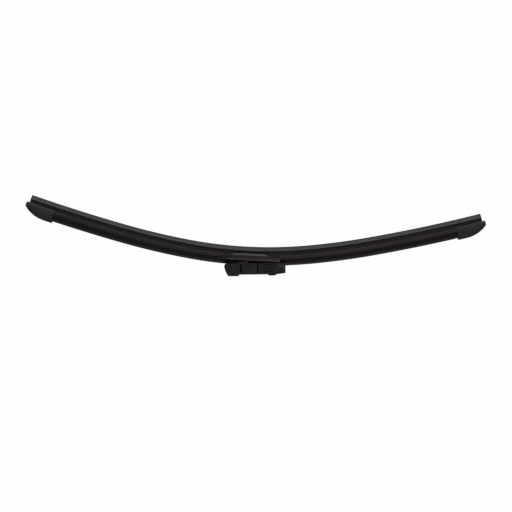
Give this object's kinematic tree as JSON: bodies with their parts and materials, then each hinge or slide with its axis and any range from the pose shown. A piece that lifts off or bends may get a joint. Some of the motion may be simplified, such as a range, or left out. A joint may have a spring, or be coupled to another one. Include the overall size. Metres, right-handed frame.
{
  "type": "wiper blade",
  "caption": "Curved frameless windscreen wiper blade with rubber lip, spring rails, spoiler, end caps and a pivoting arm adapter with a snap-in button.",
  "frame": {"origin": "middle of the pivot pin, on the centreline of the arm's channel", "axes": "+X back along the arm from the nose towards the button, +Z away from the glass, so the lip points down in -Z; Y across the blade"},
  "size_m": [0.4994, 0.019, 0.0904],
  "materials": {
    "lip_rubber": "black rubber with a dry graphite-like sheen on the lip",
    "spring_steel": "black coated spring steel strip",
    "spoiler_elastomer": "matte black extruded elastomer",
    "cap_plastic": "matte black moulding with a fine grain",
    "clamp_steel": "black coated pressed steel",
    "cover_plastic": "matte black moulding with a fine grain",
    "pin_steel": "black coated steel",
    "adapter_plastic": "matte black moulding"
  },
  "bodies": {
    "adapter": {"arm_adapter": "adapter_plastic"},
    "blade": {"wiper_rubber": "lip_rubber", "spring_rail_front": "spring_steel", "spring_rail_rear": "spring_steel", "spoiler_left": "spoiler_elastomer", "spoiler_right": "spoiler_elastomer", "end_cap_left": "cap_plastic", "end_cap_right": "cap_plastic", "rail_clamp": "clamp_steel", "base_cover": "cover_plastic", "pivot_pin": "pin_steel"},
    "button": {"release_button": "adapter_plastic"}
  },
  "joints": [
    {"name": "adapter_pivot", "type": "hinge", "parent": "adapter", "child": "blade", "pos_m": [0, 0, 0], "axis": [0, -1, 0], "range_deg": [-9.5, 4.5]},
    {"name": "button_press", "type": "hinge", "parent": "adapter", "child": "button", "pos_m": [0.0092, 0, 0.0066], "axis": [0, 1, 0], "range_deg": [0, 7], "stiffness_Nm_per_rad": 0.6}
  ]
}
